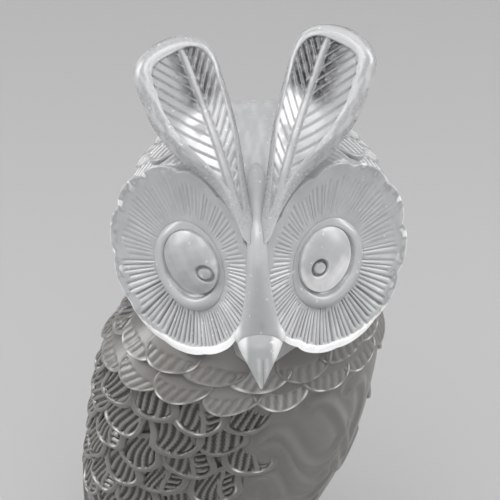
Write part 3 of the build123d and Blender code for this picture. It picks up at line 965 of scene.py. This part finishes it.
def small_head_feathers():
    """Rows of barbed feathers round the back of the head, from one disc's rim to the other's."""
    for side, name in SIDES:
        parts = [
            feather(
                place, 5.8, 6.8, tip=2.8, band=0.4, ground=0.5, barb=0.85, pitch=0.85, left=side * 62.0,
                lift=0.9, depth=0.25, detail=(44, 44), skirt=-1.5,
            )
            for place in skull_places(CHEEK_ROWS, side)
        ]
        add_piece(parts, "crystal_head", f"cheek_feathers_{name}")
    parts = [
        feather(
            place, 6.8, 7.2, tip=3.2, band=0.45, ground=0.35, barb=0.8, rachis=0.0, left=55.0,
            right=-55.0, lift=1.1, depth=0.35, bare=1.0, detail=(44, 40), skirt=-1.5,
        )
        for place in skull_places(NAPE_ROWS)
    ]
    add_piece(parts, "crystal_head", "nape_feathers")


def line_distance(azimuth, height):
    """Distance in millimetres to the nearest raised line of the breast."""
    nearest = np.full(np.broadcast(azimuth, height).shape, 99.0)
    millimetres = np.array((0.36, 1.0))
    place = np.stack(np.broadcast_arrays(azimuth, height), -1) * millimetres
    for line in BREAST_LINES:
        at = np.linspace(0, len(line) - 1, 4 * len(line) - 3)
        points = np.stack(curve_points(line, at), -1) * millimetres
        for a, b in zip(points[:-1], points[1:]):
            run = b - a
            share = np.clip(((place - a) @ run) / (run @ run), 0, 1)
            nearest = np.minimum(nearest, np.linalg.norm(place - a - share[..., None] * run, axis=-1))
    return nearest


def body_skin(nodes, edges, bottom, top, detail, relief=None):
    """Closed slab of the body's skin between two azimuths. bottom may vary with them."""
    columns, rows = detail
    azimuth = np.linspace(*edges, columns)[None]
    low = bottom(azimuth) if callable(bottom) else np.full_like(azimuth, bottom)
    height = mix(low, top, np.linspace(0, 1, rows)[:, None])
    azimuth = np.broadcast_to(azimuth, height.shape)
    lift, frost = relief(azimuth, height) if relief else (np.full(height.shape, -CLADDING - 0.7), 0.36)
    frost = np.broadcast_to(frost, height.shape)
    outer = from_body(body_point(azimuth, height, lift))
    inner = from_body(body_point(azimuth, height, -CLADDING - 1.45))
    count = rows * columns
    faces = grid_faces(rows, columns) + grid_faces(rows, columns, start=count)
    ring = border(rows, columns)
    for a, b in zip(ring, ring[1:] + ring[:1]):
        faces.append([a, b, b + count, a + count])
    part = (np.concatenate([outer, inner]), faces, np.concatenate([frost, frost]))
    add_piece([part], "crystal_body", *nodes)


def breast_relief(azimuth, height):
    """Lift and frost of the smooth breast: raised lines with shallow valleys beside them."""
    distance = line_distance(azimuth, height)
    line = bell(distance, 0, 0.7)
    valley = bell(distance, 1.6, 0.8)
    open_skin = smooth(-20, -13, azimuth) * (1 - smooth(50, 56, azimuth)) * smooth(3.2, 8.0, height)
    tuck = 0.15 * (1 - smooth(-21.5, -20, azimuth) * (1 - smooth(56, 57.5, azimuth)))
    # Painted shade: frost a little lower in the valleys beside the lines and towards the bottom
    frost = 0.505 - 0.02 * valley - 0.02 * smooth(50, 36, height)
    return -CLADDING - tuck + open_skin * (0.5 + 0.3 * line - 0.18 * valley), frost


def wing_hem(azimuth):
    """Lower edge of the wings, falling towards the tail."""
    forward = 17.0 * np.cos(np.radians(azimuth))
    return 18.0 + forward * math.tan(math.radians(25.0))


def body_skins():
    """Breast with its raised lines, and the plain skin under the wings' and the back's feathers."""
    body_skin(("breast", "breast_scallops"), (-23, 59), 3.2, 65.5, (180, 270), breast_relief)
    body_skin(("wing_right",), (200, 340), wing_hem, 65.5, (90, 60))
    body_skin(("wing_left",), (56, 160), wing_hem, 65.5, (70, 60))
    body_skin(("mantle",), (159, 201), 3.2, 65.4, (40, 60))


def toe(side, turned_by):
    """Rounded bar with knuckles and a pointed claw, flat underneath."""
    steps, around = 40, 36
    along = np.linspace(0, 1, steps)[:, None]
    phi = circle(around)
    knuckles = 0.12 * np.sin(along * math.pi * 4) * (1 - along)
    size = TOE_SIZE * (1 - 0.15 * along + knuckles) * np.sqrt(1 - along**7)
    x = size * np.cos(phi) * (1 - 0.45 * smooth(0.72, 1.0, along))
    y = np.broadcast_to(-TOE_LENGTH * along, x.shape)
    z = np.maximum(size * (0.95 + np.sin(phi)) * (1 - 0.2 * along), ABOVE_FLOOR)
    points = np.stack([x, y, z], -1) @ turn("z", side * turned_by).T + (side * 6.0, 3.0, 0.0)
    frost = np.broadcast_to(mix(0.5, 0.15, smooth(0.7, 0.78, along)), x.shape)
    return from_body(points), bar_faces(steps, around), frost


def feet():
    """Three toes a foot."""
    for side, name in SIDES:
        add_piece([toe(side, angle) for angle in TOE_TURNS], "crystal_body", f"foot_{name}")


# Skull, brow ridge and beak

def soft_min(a, b, width):
    """The smaller of two values, with a blend where they are within about width."""
    t = np.clip(0.5 + 0.5 * (b - a) / width, 0, 1)
    return mix(b, a, t) - width * t * (1 - t)


def ball_reach(unit, radii, centre):
    """Distance from the origin to an ellipsoid, along unit vectors."""
    radii, centre = np.array(radii), np.array(centre)
    a = (unit**2 / radii**2).sum(-1)
    b = (unit * centre / radii**2).sum(-1)
    c = (centre**2 / radii**2).sum() - 1
    return (b + np.sqrt(b * b - a * c)) / a


def plane_reach(unit, planes):
    """Distance from the origin to the first of some (normal, point) planes, along unit vectors."""
    far, grazing = 60.0, 0.02
    reach = np.full(unit.shape[:2], far)
    for normal, point in planes:
        towards = unit @ normal
        distance = normal @ point / np.maximum(towards, grazing)
        reach = soft_min(reach, np.where(towards > grazing, distance, far), 1.2)
    return reach


def brow_reach(unit):
    """The wedge-shaped brow: two front walls, two rear walls, a sloping top and a flat underside."""
    planes = []
    for out, edge in (((15.6, -13.0, 0), (0, -17.6, 0)), ((6.0, 13.0, 0), (0, 4, 0))):
        wall = normalised(np.array(out))
        planes += [(wall, edge), (wall * (-1, 1, 1), edge)]
    planes.append((turn("x", 12) @ (0, 0, 1), (0, -17.6, 12.9)))
    planes.append((np.array((0, 0, -1.0)), (0, 0, -9.0)))
    wedge = plane_reach(unit, planes)
    return soft_min(wedge, ball_reach(unit, (19.5, 25.0, 19.5), (0, 2.0, 0)), 1.0)


def skull():
    """Radial surface: skull and brow joined, then cut by the seats of the discs and the neck."""
    rows, columns = 200, 300
    elevation = np.linspace(-math.pi / 2, math.pi / 2, rows)[:, None]
    azimuth = circle(columns)
    unit = direction(azimuth, elevation)
    ball = ball_reach(unit, (SKULL_RADIUS, SKULL_DEPTH, SKULL_RADIUS), (0, SKULL_BACK, 0))
    reach = -soft_min(-ball, -brow_reach(unit), 2.0)
    seats = []
    for side, _ in SIDES:
        out = disc_axes(side)[:, 2]
        seats.append((out, DISC_CENTRE * (side, 1, 1) - out * (DISC_THICK - 0.4)))
    down = turn("y", HEAD_ROLL) @ np.array((0, 0, -1.0))
    reach = np.minimum(reach, plane_reach(unit, seats))
    reach = np.minimum(reach, plane_reach(unit, [(down, down * 10.0)]))

    streak = smooth(0.35, 0.8, elevation) * smooth(0.3, 0.6, np.abs(unit[..., 0]))
    streak = streak * np.sin(np.degrees(azimuth) * 1.4)
    wisp = ripple(unit[..., 0] * 34, unit[..., 1] * 7, 0.8, 5)
    frost = 0.68 + 0.06 * streak + 0.05 * (wisp - 0.5)
    points = from_head(unit * (reach + 0.05 * streak)[..., None])
    add_piece([(points, grid_faces(rows, columns, wrap=True), frost)], "crystal_head", "head", weld=True)


def swept(path, steps, node, frost_of):
    """A bar along a path in the middle plane."""
    around, back = 72, 2.5
    y, z, half, thick = curve_points(path, np.linspace(0, len(path) - 1, steps))
    run = normalised(np.stack([np.gradient(y), np.gradient(z)], -1))
    out = np.stack([run[:, 1], -run[:, 0]], -1)
    phi = circle(around) - math.pi
    x = half[:, None] * np.sin(phi)
    rise = np.where(np.cos(phi) > 0, thick[:, None], back) * np.cos(phi)
    points = np.stack([x, y[:, None] + rise * out[:, :1], z[:, None] + rise * out[:, 1:]], -1)
    frost = frost_of(x, np.broadcast_to(z[:, None], x.shape))
    add_piece([(from_head(points), bar_faces(steps, around), frost)], "crystal_head", node)


def nose():
    """Ridge from the forehead down to the flared cere, and the hooked beak under it."""
    def ridge_frost(x, z):
        """White at the cere's sides, with one polished spot in its middle."""
        spot = bell(x, 0.3, 0.4) * bell(z, -0.2, 0.8)
        return 0.65 + 0.15 * smooth(2.1, 3.0, np.abs(x)) - 0.15 * spot

    def beak_frost(x, z):
        """A clear crease down the hook between two lighter streaks painted as highlights, and a white
        rim above.
        """
        streak = bell(np.abs(x - CREASE_X), 0.55, 0.3) * (1 - smooth(-5.4, -4.6, z))
        crease = bell(x, CREASE_X, 0.14) * (1 - smooth(-5.6, -5.0, z))
        rim = smooth(1.3, 2.0, np.abs(x)) * smooth(-7.5, -5.0, z)
        return 0.62 + 0.1 * streak - 0.2 * crease + 0.25 * rim

    swept(RIDGE_PATH, 120, "brow_ridge", ridge_frost)
    swept(BEAK_PATH, 70, "beak", beak_frost)


# Light, floor and camera

def set_up(thing, place, across, up, back):
    """Put a light or a camera at a place, its own axes along three directions."""
    bpy.context.scene.collection.objects.link(thing)
    matrix = np.eye(4)
    matrix[:3, :3] = np.stack([across, up, back], -1)
    matrix[:3, 3] = place * MM
    thing.matrix_world = Matrix(matrix.tolist())


def area_light(name, offset, size, power):
    """Rectangular light at an offset from the head, aimed at the head."""
    data = bpy.data.lights.new(name, "AREA")
    data.shape = "RECTANGLE"
    data.size, data.size_y = (side * MM for side in size)
    data.energy = power
    back = normalised(np.array(offset, float))
    across = normalised(np.cross((0, 0, 1), back))
    set_up(bpy.data.objects.new(name, data), HEAD_ORIGIN + offset, across, np.cross(back, across), back)


def add_camera():
    rise = math.radians(VIEW_ELEVATION)
    right = np.array((1.0, 0, 0))
    up = np.array((0, math.sin(rise), math.cos(rise)))
    back = np.array((0, -math.cos(rise), math.sin(rise)))
    aim = HEAD_ORIGIN + right * VIEW_OFFSET[0] + up * VIEW_OFFSET[1]
    data = bpy.data.cameras.new("camera")
    data.sensor_width = SENSOR_WIDTH
    data.lens = SENSOR_WIDTH * VIEW_DISTANCE / VIEW_WIDTH
    data.clip_start = 0.01
    data.clip_end = 20.0
    camera = bpy.data.objects.new("camera", data)
    set_up(camera, aim + back * VIEW_DISTANCE, right, up, back)
    bpy.context.scene.camera = camera


def add_floor():
    reach = FLOOR_REACH * MM
    corners = [(-reach, -reach, 0), (reach, -reach, 0), (reach, reach, 0), (-reach, reach, 0)]
    mesh = bpy.data.meshes.new("floor")
    mesh.from_pydata(corners, [], [(0, 1, 2, 3)])
    material = bpy.data.materials.new("floor")
    material.use_nodes = True
    shader = material.node_tree.nodes["Principled BSDF"]
    finish = {"Base Color": (FLOOR_GREY, FLOOR_GREY, FLOOR_GREY, 1), "Roughness": 0.8}
    fill(material.node_tree, shader, finish, {})
    mesh.materials.append(material)
    floor = bpy.data.objects.new("floor", mesh)
    bpy.context.scene.collection.objects.link(floor)


def add_world():
    world = bpy.data.worlds.new("world")
    world.use_nodes = True
    background = world.node_tree.nodes["Background"]
    background.inputs["Color"].default_value = (WORLD_LIGHT, WORLD_LIGHT, WORLD_LIGHT, 1)
    bpy.context.scene.world = world


def dress_cad(material):
    """CAD nodes that stay in view take the crystal too."""
    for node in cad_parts.values():
        node.data.materials.clear()
        node.data.materials.append(material)


# The owl and its scene

crystals = {
    "crystal_head": head_crystal(),
    "crystal_ear": ear_crystal(),
    "crystal_body": body_crystal(),
    "cabochon": eye_crystal(),
}
skull()
nose()
small_head_feathers()
body_skins()
body_rows()
flight_feathers()
tail()
feet()
for side, name in SIDES:
    facial_disc(side, name)
    eye_ring(side, name)
    eye(side, name)
    ear_tuft(side, name)
dress_cad(torso_crystal())

for name, (offset, size, power) in LIGHTS.items():
    area_light(name, offset, size, power)
add_floor()
add_world()
bpy.context.scene.view_settings.view_transform = "Standard"
add_camera()
